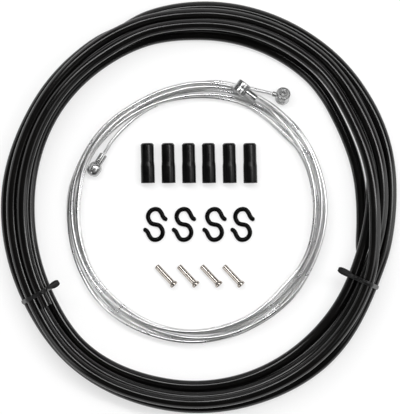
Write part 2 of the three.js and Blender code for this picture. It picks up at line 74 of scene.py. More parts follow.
CASING_DIAMETER = 5.0
CASING_SPACING = 5.2
CASING_STEPS_PER_TURN = 48
CASING_TURNS = 4.87
CASING_RING_RADIUS = 72.0
RING_STRETCH_Y = 1.04
TIE_ANGLES_DEG = (207.5, 336.5)
TIE_STRAP_THICKNESS = 1.0
TIE_CLEARANCE = 0.3
# The casing's lowest turn is lifted over each tie: in full so near to it, and not at all beyond
TIE_LIFT_DEG = (8, 45)

WIRE_DIAMETER = 1.6
WIRE_SPACING = 1.85
WIRE_STEPS_PER_TURN = 36
WIRE_COIL_INSET = 17.0
WIRE_COIL_RADIUS = CASING_RING_RADIUS - WIRE_COIL_INSET
WIRE_COIL_CENTRE = (-2.64, -0.88)
SHORT_WIRE_TURNS = 3.25
SHORT_WIRE_END_DEG = 50

HEAD_DIAMETER = 6.3
HEAD_LENGTH = 5.6
JOIN_GAP = 0.3
LEAD_LENGTH = 2.0
PEAR_DIAMETER = 5.9
# Turns of wire within this angle of the short wire's head lie under it
UNDER_HEAD_DEG = 14

# Each head: its angle round the inner coil, how far outside the coil's radius it is, its roll about
# its neck, the neck's diameter and length, and whether it is a pear shape in line with the neck
Head = namedtuple("Head", "degrees outside roll_deg neck_diameter neck_length pear")
HEADS = {
    "head_long_a": Head(158.2, -8.1, 0.0, 3.5, 4.8, True),
    "head_long_b": Head(51.55, 8.45, -60.0, 2.4, 1.6, False),
    "head_short": Head(68.1, 2.1, 0.0, 3.5, 4.8, False),
}

# How a wire leaves the coil at an end: whether that is its start, how far outside the coil's radius it
# ends, the degrees over which it goes there, its height, and the degrees over which it rises to it
End = namedtuple("End", "at_start outside over height rise")

# The casing's rows: angle, the coil's inner edge outside the ring's radius, and each turn's place
# outwards from that edge in casing diameters
CASING_ROWS = (
    (257, 1.8, (0.85, 0.0, 1.74, 0.87, 1.3)),
    (285, 0.8, (0.9, 0.0, 1.92, 0.95, 1.35)),
    (310, 0.0, (1.0, 0.0, 2.2, 1.03, 1.45)),
    (336, -0.65, (0.9, 0.0, 1.82, 0.9, 1.3)),
    (348, -1.9, (0.1, 0.3, 2.2, 1.3, 1.15)),
    (360, -2.9, (0.0, 0.75, 2.55, 1.75, 1.0)),
    (385, -3.15, (0.0, 1.45, 3.04, 2.05, 1.0)),
    (410, -1.0, (0.0, 1.4, 2.58, 1.9, 0.9)),
    (450, -1.4, (0.0, 1.25, 2.28, 1.65, 0.75)),
    (470, -0.25, (0.0, 1.4, 1.74, 1.5, 0.6)),
    (480, -0.1, (0.0, 1.69, 1.2, 1.45, 0.45)),
    (510, 0.8, (0.0, 1.64, 0.82, 1.23, 0.41)),
    (540, 0.4, (0.0, 2.0, 0.95, 1.43, 0.48)),
    (567, 1.5, (0.0, 1.79, 0.9, 1.34, 0.45)),
    (590, 3.7, (0.0, 1.55, 0.78, 1.3, 0.36)),
)
# The inner bundle by angle: its middle outside the coil's radius, and how far a wire wanders from it
WIRE_MIDDLE = (
    (0, 0.65), (24, 0.7), (42, -0.3), (60, -0.75), (84, -2.3), (108, -3.8), (120, -4.0), (138, -3.3),
    (156, -2.6), (174, -2.4), (192, -1.7), (210, -0.5), (228, 0.4), (252, 0.9), (276, 1.3), (300, 0.85),
    (318, 0.5), (336, 0.8),
)
WIRE_WANDER = (
    (0, 2.7), (24, 2.5), (42, 3.6), (60, 3.1), (84, 3.1), (108, 2.3), (120, 1.9), (138, 1.9), (156, 1.6),
    (174, 2.5), (192, 2.4), (210, 2.4), (228, 3.0), (252, 2.6), (276, 2.8), (300, 2.7), (318, 3.2),
    (336, 2.2),
)


def smoothstep(x, low, high):
    share = min(1.0, max(0.0, (x - low) / (high - low)))
    return share * share * (3 - 2 * share)


def along_path(points):
    """A smooth function through a few (degrees, value) points, without overshoot between them."""
    rises = [(v1 - v0) / (a1 - a0) for (a0, v0), (a1, v1) in zip(points, points[1:])]
    slopes = [0.0, *(2 / (1 / a + 1 / b) if a * b > 0 else 0.0 for a, b in zip(rises, rises[1:])), 0.0]

    def value(degrees):
        if degrees <= points[0][0]:
            return points[0][1]
        for index, ((a0, v0), (a1, v1)) in enumerate(zip(points, points[1:])):
            if degrees <= a1:
                span = a1 - a0
                t = (degrees - a0) / span
                start = v0 * (1 + 2 * t) + slopes[index] * span * t
                stop = v1 * (3 - 2 * t) - slopes[index + 1] * span * (1 - t)
                return start * (1 - t) ** 2 + stop * t**2
        return points[-1][1]
    return value


def around_ring(points):
    first = points[0][0]
    closed = along_path([
        (points[-1][0] - 360, points[-1][1]),
        *points,
        (points[0][0] + 360, points[0][1]),
        (points[1][0] + 360, points[1][1]),
    ])
    return lambda degrees: closed(first + (degrees - first) % 360)


def away_from(degrees, centre):
    return abs((degrees - centre + 180) % 360 - 180)


def lay_turns(paths, floor_at, spacing, window, passes):
    """Lays turns on the floor and on each other, with long low humps where they cross."""
    laid = {}
    for per_turn, stations in paths:
        heights = [0.0] * len(stations)
        reach = window * 2 * passes
        raw = []
        done = 0

        def contact(index):
            station = stations[index]
            height = max(floor_at(station), station["least"])
            below = [(other["radius"], other["height"]) for other in laid.get(station["slot"], [])]
            below += [(stations[i]["radius"], heights[i]) for i in range(index - per_turn, -1, -per_turn)]
            for radius, level in below:
                aside = abs(radius - station["radius"])
                if aside < spacing:
                    height = max(height, level + math.sqrt(spacing**2 - aside**2))
            return height

        def smooth_at(index, start):
            level = raw[start:]
            for _ in range(passes):
                tops = [max(level[max(0, i - window):i + window + 1]) for i in range(len(level))]
                level = []
                for i in range(len(tops)):
                    part = tops[max(0, i - window):i + window + 1]
                    level.append(sum(part) / len(part))
            return level[index - start]

        for index in range(len(stations)):
            raw.append(contact(index))
            if index - reach >= done:
                heights[done] = smooth_at(done, max(0, done - reach))
                done += 1
        while done < len(stations):
            heights[done] = smooth_at(done, max(0, done - reach))
            done += 1
        for station, height in zip(stations, heights):
            station["height"] = height
            laid.setdefault(station["slot"], []).append(station)


def casing_stations():
    edge_at = around_ring([(angle, CASING_RING_RADIUS + outside) for angle, outside, _ in CASING_ROWS])
    lanes = [
        (angle + 360 * turn, places[turn])
        for turn in range(math.ceil(CASING_TURNS))
        for angle, _, places in CASING_ROWS
    ]
    lane_at = along_path(lanes)
    count = round(CASING_TURNS * CASING_STEPS_PER_TURN)
    stations = []
    for index in range(count + 1):
        degrees = CASING_ROWS[0][0] + index * 360 / CASING_STEPS_PER_TURN
        stations.append({
            "slot": index % CASING_STEPS_PER_TURN,
            "degrees": degrees,
            "radius": edge_at(degrees) + CASING_DIAMETER * (0.5 + lane_at(degrees)),
            "least": 0.0,
        })
    return stations


def casing_floor(station):
    lift = max(1 - smoothstep(away_from(station["degrees"], tie), *TIE_LIFT_DEG) for tie in TIE_ANGLES_DEG)
    return CASING_DIAMETER / 2 + lift * (TIE_STRAP_THICKNESS + TIE_CLEARANCE)


def wire_stations(start_deg, turns, direction, rate, phase, ends):
    """A wire's stations round the inner coil, where it wanders about the middle of the bundle."""
    middle_at = around_ring(WIRE_MIDDLE)
    wander_at = around_ring(WIRE_WANDER)
    step = 360 / WIRE_STEPS_PER_TURN
    count = round(turns * WIRE_STEPS_PER_TURN)
    first = round(start_deg / step)
    stations = []
    for index in range(count + 1):
        degrees = (first + direction * index) * step
        along = index * step
        outside = middle_at(degrees) + wander_at(degrees) * math.sin(math.radians(rate * along + phase))
        least = 0.0
        for end in ends:
            away = along if end.at_start else count * step - along
            coiled = smoothstep(away, 0, end.over)
            outside = end.outside + (outside - end.outside) * coiled
            least = max(least, end.height * (1 - smoothstep(away, 0, end.rise)))
        stations.append({
            "slot": (first + direction * index) % WIRE_STEPS_PER_TURN,
            "degrees": degrees,
            "radius": WIRE_COIL_RADIUS + outside,
            "least": least,
        })
    return stations


def rest_height(name):
    if HEADS[name].pear:
        return PEAR_DIAMETER / 2
    roll = math.radians(HEADS[name].roll_deg)
    return HEAD_LENGTH / 2 * abs(math.sin(roll)) + HEAD_DIAMETER / 2 * math.cos(roll)


def wire_point(station):
    angle = math.radians(station["degrees"])
    return Vector((
        WIRE_COIL_CENTRE[0] + station["radius"] * math.cos(angle),
        WIRE_COIL_CENTRE[1] + station["radius"] * math.sin(angle),
        station["height"],
    ))


def smooth_line(points, cuts):
    """A Catmull-Rom line through the points, with so many cuts in each stretch."""
    padded = [2 * points[0] - points[1], *points, 2 * points[-1] - points[-2]]
    line = []
    for p0, p1, p2, p3 in zip(padded, padded[1:], padded[2:], padded[3:]):
        for cut in range(cuts):
            t = cut / cuts
            line.append(0.5 * (
                2 * p1 + (p2 - p0) * t + (2 * p0 - 5 * p1 + 4 * p2 - p3) * t**2
                + (3 * p1 - p0 - 3 * p2 + p3) * t**3
            ))
    line.append(points[-1].copy())
    return line


def even_line(line, step):
    """The same line with its points about one step apart."""
    lengths = [0.0]
    for a, b in zip(line, line[1:]):
        lengths.append(lengths[-1] + (b - a).length)
    count = max(2, round(lengths[-1] / step))
    result = []
    segment = 0
    for index in range(count + 1):
        target = lengths[-1] * index / count
        while segment < len(line) - 2 and lengths[segment + 1] < target:
            segment += 1
        span = lengths[segment + 1] - lengths[segment]
        share = (target - lengths[segment]) / span if span else 0.0
        result.append(line[segment].lerp(line[segment + 1], min(1.0, share)))
    return result


def line_length(line):
    return sum((b - a).length for a, b in zip(line, line[1:]))


casing = casing_stations()
lay_turns([(CASING_STEPS_PER_TURN, casing)], casing_floor, CASING_SPACING, window=1, passes=2)
casing_points = []
for station in casing:
    angle = math.radians(station["degrees"])
    casing_points.append(Vector((
        station["radius"] * math.cos(angle),
        RING_STRETCH_Y * station["radius"] * math.sin(angle),
        station["height"],
    )))

long_wire = wire_stations(
    start_deg=140, turns=5.194, direction=-1, rate=0.775, phase=200,
    ends=[
        End(at_start=True, outside=-8.4, over=50, height=rest_height("head_long_a"), rise=40),
        End(at_start=False, outside=2.8, over=40, height=rest_height("head_long_b"), rise=30),
    ],
)
short_wire = wire_stations(
    start_deg=SHORT_WIRE_END_DEG - 360 * SHORT_WIRE_TURNS, turns=SHORT_WIRE_TURNS, direction=1,
    rate=0.81, phase=120,
    ends=[End(at_start=False, outside=0.0, over=30, height=6.5, rise=40)],
)
lay_turns(
    [(WIRE_STEPS_PER_TURN, long_wire), (WIRE_STEPS_PER_TURN, short_wire)],
    lambda station: WIRE_DIAMETER / 2, WIRE_SPACING, window=1, passes=1,
)
half_turn = WIRE_STEPS_PER_TURN // 2
under_short_head = [
    station["height"] + WIRE_DIAMETER / 2 + JOIN_GAP
    for station in [*long_wire, *short_wire[:-half_turn]]
    if away_from(station["degrees"], HEADS["head_short"].degrees) < UNDER_HEAD_DEG
]


def head_place(name, last_station, supports):
    """A head's middle and the angle of its neck, which points at its wire's last station."""
    head = HEADS[name]
    height = rest_height(name) + max([0.0, *supports])
    radius = WIRE_COIL_RADIUS + head.outside
    centre = wire_point({"degrees": head.degrees, "radius": radius, "height": height})
    towards = wire_point(last_station)
    return centre, math.atan2(towards.y - centre.y, towards.x - centre.x)


PLACES = {
    "head_long_a": head_place("head_long_a", long_wire[0], []),
    "head_long_b": head_place("head_long_b", long_wire[-1], []),
    "head_short": head_place("head_short", short_wire[-1], under_short_head),
}


def lead_out(name):
    centre, neck_angle = PLACES[name]
    way = Vector((math.cos(neck_angle), math.sin(neck_angle), 0))
    start = HEAD_DIAMETER / 2 + HEADS[name].neck_length + JOIN_GAP
    return [centre + way * distance for distance in (start, start + LEAD_LENGTH)]


long_points = [*lead_out("head_long_a"), *map(wire_point, long_wire), *reversed(lead_out("head_long_b"))]
short_points = [*map(wire_point, short_wire), *reversed(lead_out("head_short"))]

# ---------------------------------------------------------------- mesh helpers

# A turned profile's point nearer to the axis than this lies on it
ON_AXIS = 1e-6
ROUND_CUTS = 3
# The share of an edge that the rounding of one of its corners may take
ROUND_ROOM = 0.45


def add_object(name, verts, faces, materials, face_slots=None, uvs=None, shade=None, sharp_deg=None):
    """A mesh object from points in millimetres, in the row frame."""
    mesh = bpy.data.meshes.new(name)
    mesh.from_pydata([tuple(Vector(v) * MM) for v in verts], [], faces)
    for item in materials:
        mesh.materials.append(item)
    if face_slots:
        mesh.polygons.foreach_set("material_index", face_slots)
    if uvs:
        layer = mesh.uv_layers.new(name="run")
        flat = [value for pair in uvs for value in pair]
        layer.data.foreach_set("uv", flat)
    if shade:
        attribute = mesh.attributes.new("shade", "FLOAT", "POINT")
        attribute.data.foreach_set("value", shade)
    mesh.polygons.foreach_set("use_smooth", [True] * len(mesh.polygons))
    mesh.update()
    if sharp_deg:
        mesh.set_sharp_from_angle(angle=math.radians(sharp_deg))
    thing = bpy.data.objects.new(name, mesh)
    bpy.context.scene.collection.objects.link(thing)
    return thing


def frames_along(line):
    """For each point of a line that lies about flat: the point, the way aside and the way up."""
    frames = []
    for index, point in enumerate(line):
        before = line[max(0, index - 1)]
        after = line[min(len(line) - 1, index + 1)]
        ahead = (after - before).normalized()
        aside = ahead.cross(Vector((0, 0, 1))).normalized()
        frames.append((point, aside, aside.cross(ahead).normalized()))
    return frames


def ring_of(radius, sides):
    """A circle's points, with the first one half a side round from the X axis."""
    angles = [2 * math.pi * (side + 0.5) / sides for side in range(sides)]
    return [(radius * math.cos(angle), radius * math.sin(angle)) for angle in angles]


def tube(line, sections):
    """Points and quads of a tube; sections gives each ring as (aside, up) pairs."""
    verts = []
    for (point, aside, up), ring in zip(frames_along(line), sections):
        verts += [point + aside * x + up * y for x, y in ring]
    size = len(sections[0])
    faces = []
    for ring in range(len(line) - 1):
        base = ring * size
        for i in range(size):
            j = (i + 1) % size
            faces.append((base + i, base + size + i, base + size + j, base + j))
    return verts, faces


def lathe(profile, sides, matrix, name, material, sharp_deg=35):
    """A turned piece about the Z axis from (radius, height) pairs; open profiles close at the axis."""
    verts, faces, rings = [], [], []
    for radius, height in profile:
        if radius < ON_AXIS:
            rings.append([len(verts)])
            verts.append(Vector((0, 0, height)))
        else:
            rings.append(list(range(len(verts), len(verts) + sides)))
            for side in range(sides):
                angle = 2 * math.pi * side / sides
                verts.append(Vector((radius * math.cos(angle), radius * math.sin(angle), height)))
    pairs = list(zip(rings, rings[1:]))
    if profile[0][0] > ON_AXIS:
        pairs.append((rings[-1], rings[0]))
    for a, b in pairs:
        for i in range(sides):
            j = (i + 1) % sides
            if len(a) == 1:
                faces.append((a[0], b[j], b[i]))
            elif len(b) == 1:
                faces.append((a[i], a[j], b[0]))
            else:
                faces.append((a[i], a[j], b[j], b[i]))
    return add_object(name, [matrix @ v for v in verts], faces, [material], sharp_deg=sharp_deg)


def rounded(profile, radius):
    """The profile with each corner between its two ends rounded."""
    result = [profile[0]]
    for before, corner, after in zip(profile, profile[1:], profile[2:]):
        p0, p1, p2 = Vector(before), Vector(corner), Vector(after)
        room = min(radius, (p0 - p1).length * ROUND_ROOM, (p2 - p1).length * ROUND_ROOM)
        start = p1 + (p0 - p1).normalized() * room
        stop = p1 + (p2 - p1).normalized() * room
        for cut in range(ROUND_CUTS + 1):
            t = cut / ROUND_CUTS
            point = start * (1 - t) ** 2 + p1 * 2 * t * (1 - t) + stop * t**2
            result.append((max(0.0, point.x), point.y))
    result.append(profile[-1])
    return result


def outward(thing):
    """Turns every face of a closed mesh outwards."""
    work = bmesh.new()
    work.from_mesh(thing.data)
    bmesh.ops.recalc_face_normals(work, faces=work.faces)
    work.to_mesh(thing.data)
    work.free()


def joined(base, *others):
    """The union of closed meshes, as one closed mesh."""
    for other in others:
        modifier = base.modifiers.new("union", "BOOLEAN")
        modifier.operation = "UNION"
        modifier.solver = "EXACT"
        modifier.object = other
        bpy.context.view_layer.update()
        evaluated = base.evaluated_get(bpy.context.evaluated_depsgraph_get())
        whole = bpy.data.meshes.new_from_object(evaluated)
        base.modifiers.clear()
        old = base.data
        base.data = whole
        bpy.data.meshes.remove(old)
        bpy.data.objects.remove(other)
    return base


# ---------------------------------------------------------------- materials


class Nodes:
    """A material's node tree with short calls for the nodes used here."""

    def __init__(self, name):
        self.material = bpy.data.materials.new(name)
        self.material.use_nodes = True
        self.tree = self.material.node_tree
        self.tree.nodes.clear()
        self.output = self.tree.nodes.new("ShaderNodeOutputMaterial")
        self.shader = self.tree.nodes.new("ShaderNodeBsdfPrincipled")
        self.tree.links.new(self.shader.outputs[0], self.output.inputs["Surface"])

    def add(self, kind, **values):
        node = self.tree.nodes.new(kind)
        for key, value in values.items():
            setattr(node, key, value)
        return node

    def link(self, source, target):
        self.tree.links.new(source, target)

    def set(self, **values):
        for key, value in values.items():
            self.shader.inputs[key.replace("_", " ")].default_value = value

    def coords(self, scale, uv):
        source = self.add("ShaderNodeTexCoord")
        mapping = self.add("ShaderNodeMapping")
        mapping.inputs["Scale"].default_value = scale
        self.link(source.outputs["UV" if uv else "Object"], mapping.inputs["Vector"])
        return mapping.outputs["Vector"]

    def noise(self, scale, detail, stretch=(1, 1, 1), uv=False):
        node = self.add("ShaderNodeTexNoise")
        node.inputs["Scale"].default_value = scale
        node.inputs["Detail"].default_value = detail
        self.link(self.coords(stretch, uv), node.inputs["Vector"])
        return node.outputs["Fac"]

    def ramp(self, source, stops):
        node = self.add("ShaderNodeValToRGB")
        elements = node.color_ramp.elements
        for element, (position, colour) in zip(elements, stops):
            element.position = position
            element.color = (*colour, 1.0)
        self.link(source, node.inputs["Fac"])
        return node.outputs["Color"]

    def spread(self, source, low, high):
        node = self.add("ShaderNodeMapRange")
        node.inputs["To Min"].default_value = low
        node.inputs["To Max"].default_value = high
        self.link(source, node.inputs["Value"])
        return node.outputs["Result"]

    def mix(self, factor, a, b):
        node = self.add("ShaderNodeMix", data_type="RGBA")
        for socket, value in ((node.inputs[0], factor), (node.inputs[6], a), (node.inputs[7], b)):
            if isinstance(value, bpy.types.NodeSocket):
                self.link(value, socket)
            else:
                socket.default_value = value
        return node.outputs[2]

    def bump(self, height, distance):
        node = self.add("ShaderNodeBump")
        node.inputs["Distance"].default_value = distance
        self.link(height, node.inputs["Height"])
        return node.outputs["Normal"]

    def colour(self, source):
        self.link(source, self.shader.inputs["Base Color"])

    def rough(self, source):
        self.link(source, self.shader.inputs["Roughness"])

    def normal(self, source):
        self.link(source, self.shader.inputs["Normal"])


def casing_plastic():
    """Extruded sheath: smooth and glossy, with faint draw lines along it and fine dust."""
    n = Nodes("casing_plastic")
    n.set(Specular_IOR_Level=0.42)
    patches = n.noise(60.0, 4.0)
    n.colour(n.ramp(patches, [(0.3, (0.0015, 0.0015, 0.0015)), (0.75, (0.004, 0.0036, 0.0033))]))
    streaks = n.noise(1.0, 2.0, (1400.0, 22.0, 1.0), uv=True)
    n.rough(n.spread(n.mix(0.4, patches, streaks), 0.12, 0.2))
    waves = n.noise(1.0, 2.0, (250.0, 60.0, 1.0), uv=True)
    n.normal(n.bump(n.mix(0.35, waves, streaks), 0.00006))
    return n.material


def ribbon_plastic():
    """The ties' thin ribbon: dull black, with a slightly uneven skin."""
    n = Nodes("ribbon_plastic")
    n.set(Specular_IOR_Level=0.22)
    patches = n.noise(350.0, 4.0)
    n.colour(n.ramp(patches, [(0.3, (0.004, 0.004, 0.0043)), (0.75, (0.012, 0.012, 0.012))]))
    n.rough(n.spread(patches, 0.28, 0.38))
    n.normal(n.bump(n.noise(1100.0, 3.0), 0.00008))
    return n.material


def ferrule_plastic():
    """Moulded cap: satin, with a fine spark-eroded grain and faint rub marks."""
    n = Nodes("ferrule_plastic")
    n.set(Specular_IOR_Level=0.22)
    patches = n.noise(180.0, 4.0)
    n.colour(n.ramp(patches, [(0.3, (0.0012, 0.0012, 0.0013)), (0.8, (0.004, 0.004, 0.004))]))
    rubs = n.noise(1.0, 3.0, (900.0, 900.0, 90.0))
    n.rough(n.spread(n.mix(0.5, patches, rubs), 0.2, 0.3))
    n.normal(n.bump(n.noise(1800.0, 2.0), 0.00003))
    return n.material


def hook_coat():
    """Black dip coat over steel rod."""
    n = Nodes("hook_coat")
    n.set(Specular_IOR_Level=0.08)
    patches = n.noise(260.0, 4.0)
    n.colour(n.ramp(patches, [(0.3, (0.0008, 0.0008, 0.0008)), (0.8, (0.0025, 0.0025, 0.0025))]))
    n.rough(n.spread(patches, 0.1, 0.18))
    n.normal(n.bump(n.noise(700.0, 3.0), 0.00003))
    return n.material


def strand_steel():
    """Galvanised strands: pale, a little dull, with painted shade that darkens them down in the grooves
    between them.
    """
    n = Nodes("strand_steel")
    n.set(Metallic=1.0)
    painted_groove_shade = n.add("ShaderNodeAttribute", attribute_name="shade").outputs["Fac"]
    patches = n.noise(120.0, 4.0)
    bright = n.ramp(patches, [(0.3, (0.84, 0.84, 0.85)), (0.75, (0.92, 0.92, 0.91))])
    # Painted shade: the colour darkens towards near black with the depth of the groove, and a little on the
    # cut ends
    n.colour(n.mix(n.spread(painted_groove_shade, 0.0, 0.16), bright, (0.1, 0.1, 0.1, 1.0)))
    n.rough(n.spread(patches, 0.24, 0.32))
    n.normal(n.bump(n.noise(2600.0, 2.0), 0.000004))
    return n.material


def cast_zinc():
    """Cast heads: grey, matt in the skin and brighter where the mould rubbed."""
    n = Nodes("cast_zinc")
    n.set(Metallic=1.0)
    patches = n.noise(300.0, 4.0)
    n.colour(n.ramp(patches, [(0.3, (0.42, 0.425, 0.43)), (0.72, (0.6, 0.6, 0.59))]))
    n.rough(n.spread(patches, 0.2, 0.32))
    n.normal(n.bump(n.noise(900.0, 2.0), 0.00001))
    return n.material


def crimp_nickel():
    """Drawn and plated tube: warm, bright, with fine lines round it."""
    n = Nodes("crimp_nickel")
    n.set(Metallic=1.0)
    patches = n.noise(220.0, 3.0)
    n.colour(n.ramp(patches, [(0.3, (0.46, 0.42, 0.38)), (0.75, (0.64, 0.6, 0.56))]))
    n.rough(n.spread(patches, 0.12, 0.22))
    n.normal(n.bump(n.noise(1500.0, 3.0), 0.00001))
    return n.material


def liner_plastic():
    """The pale tube inside the casing."""
    n = Nodes("liner_plastic")
    patches = n.noise(500.0, 3.0)
    n.colour(n.ramp(patches, [(0.3, (0.6, 0.6, 0.58)), (0.75, (0.75, 0.75, 0.72))]))
    n.rough(n.spread(patches, 0.4, 0.55))
    return n.material


def spiral_steel():
    """The casing's flat steel spiral, where it is cut."""
    n = Nodes("spiral_steel")
    n.set(Metallic=1.0)
    patches = n.noise(700.0, 3.0)
    n.colour(n.ramp(patches, [(0.3, (0.3, 0.3, 0.31)), (0.75, (0.55, 0.55, 0.56))]))
    n.rough(n.spread(patches, 0.3, 0.5))
    return n.material


CASING = casing_plastic()
RIBBON = ribbon_plastic()
FERRULE = ferrule_plastic()
HOOK = hook_coat()
STRANDS = strand_steel()
ZINC = cast_zinc()
NICKEL = crimp_nickel()
LINER = liner_plastic()
SPIRAL = spiral_steel()

# ---------------------------------------------------------------- outer casing

CASING_SIDES = 24
CASING_CUTS = 5
CASING_HOLE_DEPTH = 4.0
# How far the steel spiral and the liner stand back from the sheath's cut
CASING_CORE_INSET = 0.06
SHEATH_SLOT, SPIRAL_SLOT, LINER_SLOT = range(3)
# The cut end from the sheath inwards: radius, and the material slot of the band that ends there
CASING_END = (
    (2.42, SHEATH_SLOT), (1.98, SHEATH_SLOT), (1.9, SPIRAL_SLOT), (1.32, SPIRAL_SLOT),
    (1.26, LINER_SLOT), (0.95, LINER_SLOT),
)


def build_casing():
    line = smooth_line(casing_points, CASING_CUTS)
    radius = CASING_DIAMETER / 2
    circle = ring_of(1.0, CASING_SIDES)
    sections = [[(radius * x, radius * y) for x, y in circle] for _ in line]
    verts, faces = tube(line, sections)
    slots = [SHEATH_SLOT] * len(faces)
    uvs = []
    run = 0.0
    around = math.pi * CASING_DIAMETER * MM / CASING_SIDES
    for ring in range(len(line) - 1):
        step = (line[ring + 1] - line[ring]).length * MM
        for i in range(CASING_SIDES):
            left, right = i * around, (i + 1) * around
            uvs += [(left, run), (left, run + step), (right, run + step), (right, run)]
        run += step
    for end, ring in ((0, 0), (1, len(line) - 1)):
        point, aside, up = frames_along(line)[ring]
        ahead = up.cross(aside) * (1 if end else -1)
        previous = [ring * CASING_SIDES + i for i in range(CASING_SIDES)]
        bands = [(r, 0.0 if slot == SHEATH_SLOT else CASING_CORE_INSET, slot) for r, slot in CASING_END]
        bands += [(CASING_END[-1][0], CASING_HOLE_DEPTH, LINER_SLOT)]
        for band_radius, depth, slot in bands:
            ring_ids = list(range(len(verts), len(verts) + CASING_SIDES))
            verts += [point + (aside * x + up * y) * band_radius - ahead * depth for x, y in circle]
            for i in range(CASING_SIDES):
                j = (i + 1) % CASING_SIDES
                quad = (previous[i], ring_ids[i], ring_ids[j], previous[j])
                faces.append(quad if end else quad[::-1])
                slots.append(slot)
                uvs += [(0.0, 0.0)] * 4
            previous = ring_ids
        centre = len(verts)
        verts.append(point - ahead * CASING_HOLE_DEPTH)
        for i in range(CASING_SIDES):
            j = (i + 1) % CASING_SIDES
            trio = (previous[i], centre, previous[j])
            faces.append(trio if end else trio[::-1])
            slots.append(LINER_SLOT)
            uvs += [(0.0, 0.0)] * 3
    thing = add_object("casing", verts, faces, [CASING, SPIRAL, LINER], slots, uvs, sharp_deg=50)
    outward(thing)
    return thing, line


casing_piece, casing_line = build_casing()
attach(casing_piece, "root")
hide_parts("outer_casing")

# ---------------------------------------------------------------- inner wires

WIRE_CUTS = 6
STRAND_COUNT = 12
POINTS_PER_STRAND = 2
STRAND_PITCH = 18.0
STRAND_STEP = 0.66
# The modelled grooves' depth as a share of that between round strands
GROOVE_SHARE = 0.03
# How much painted shade a wire's cut end gets, where 1 is that at the bottom of a groove
CUT_END_SHADE = 0.3


def strand_section():
    """One ring of the rope's outline: for each point its angle, radius and depth in the groove."""
    half = math.pi / STRAND_COUNT
    reach = WIRE_DIAMETER / 2
    middle = reach / (1 + math.sin(half))
    strand = middle * math.sin(half)
    count = STRAND_COUNT * POINTS_PER_STRAND
    ring = []
    for index in range(count):
        place = index % POINTS_PER_STRAND / POINTS_PER_STRAND
        off = (2 * place - 1) * half
        radius = middle * math.cos(off) + math.sqrt(max(0.0, strand**2 - (middle * math.sin(off)) ** 2))
        radius = reach - GROOVE_SHARE * (reach - radius)
        ring.append((2 * math.pi * index / count, radius, reach - radius))
    return ring


def build_wire(name, points, node):
    line = even_line(smooth_line(points, WIRE_CUTS), STRAND_STEP)
    outline = strand_section()
    deepest = max(depth for _, _, depth in outline)
    step = line_length(line) / (len(line) - 1)
    sections = []
    for index in range(len(line)):
        turn = 2 * math.pi * index * step / STRAND_PITCH
        sections.append([(r * math.cos(a + turn), r * math.sin(a + turn)) for a, r, _ in outline])
    verts, faces = tube(line, sections)
    # Painted shade for each point, full at the bottom of a groove
    shade = [depth / deepest for _ in line for _, _, depth in outline]
    size = len(outline)
    for end, ring in ((0, 0), (1, len(line) - 1)):
        centre = len(verts)
        verts.append(line[ring].copy())
        shade.append(CUT_END_SHADE)
        for i in range(size):
            j = (i + 1) % size
            trio = (ring * size + i, centre, ring * size + j)
            faces.append(trio if end else trio[::-1])
    thing = add_object(name, verts, faces, [STRANDS], shade=shade, sharp_deg=60)
    outward(thing)
    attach(thing, "root")
    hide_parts(node)
    return thing, line


wire_long, long_line = build_wire("wire_long", long_points, "inner_wire_long")
wire_short, short_line = build_wire("wire_short", short_points, "inner_wire_short")

# ---------------------------------------------------------------- heads

HEAD_SIDES = 40
NECK_SIDES = 28
# The pear's outline from its round end to its neck, in shares of its length and of its radius
PEAR_OUTLINE = (
    (-0.5, 0), (-0.49, 0.3), (-0.44, 0.62), (-0.34, 0.86), (-0.2, 0.97), (0.0, 1), (0.16, 0.99),
    (0.34, 0.9), (0.46, 0.7),
)


def build_head(name):
    """A barrel across the neck with a shallow recess in each end, or a pear, and the moulded neck."""
    head = HEADS[name]
    centre, neck_angle = PLACES[name]
    radius, half = HEAD_DIAMETER / 2, HEAD_LENGTH / 2
    barrel_profile = [
        (0, -half + 0.15), (0.55, -half + 0.15), (0.7, -half + 0.45), (1.45, -half + 0.45),
        (1.75, -half + 0.02), (radius - 0.35, -half), (radius, -half + 0.4), (radius, -0.55),
        (radius - 0.08, -0.3), (radius - 0.08, 0.3), (radius, 0.55), (radius, half - 0.4),
        (radius - 0.35, half), (1.75, half - 0.02), (1.45, half - 0.45), (0.7, half - 0.45),
        (0.55, half - 0.15), (0, half - 0.15),
    ]
    reach = radius + head.neck_length
    neck = head.neck_diameter / 2
    neck_profile = [
        (0, 0.4), (neck - 0.05, 0.4), (neck - 0.05, radius + 0.3), (neck, radius + 0.5),
        (neck, reach - 0.35), (neck - 0.3, reach), (WIRE_DIAMETER / 2 + 0.1, reach - 0.05),
        (0, reach - 0.05),
    ]
    place = (
        Matrix.Translation(centre)
        @ Matrix.Rotation(neck_angle, 4, "Z")
        @ Matrix.Rotation(math.radians(head.roll_deg), 4, "X")
    )
    across = Matrix.Rotation(math.pi / 2, 4, "X")
    along = Matrix.Rotation(math.pi / 2, 4, "Y")
    if head.pear:
        pear_profile = [(r * PEAR_DIAMETER / 2, h * HEAD_DIAMETER) for h, r in PEAR_OUTLINE]
        body_profile = rounded(pear_profile, 0.5) + [(0, radius)]
    else:
        body_profile = rounded(barrel_profile, 0.15)
    body = lathe(body_profile, HEAD_SIDES, place @ (along if head.pear else across), name + "_cast", ZINC)
    sleeve = lathe(rounded(neck_profile, 0.2), NECK_SIDES, place @ along, name + "_neck", ZINC)
    outward(body)
    outward(sleeve)
    cast = joined(body, sleeve)
    cast.data.set_sharp_from_angle(angle=math.radians(40))
    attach(cast, "root")
    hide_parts(name)
    return cast


heads = {name: build_head(name) for name in HEADS}

# ---------------------------------------------------------------- ties

TIE_WIDTH = 1.8
TIE_SAMPLES = 40
TIE_STEP = 1.1
# How far the ribbon's middle stands off the turns that it holds, past half the tie's clearance
TIE_STAND_OFF = 0.25
# The thickness of the strap round the turns, as a share of RIBBON_SECTION's
STRAP_THICKNESS_SHARE = 0.6
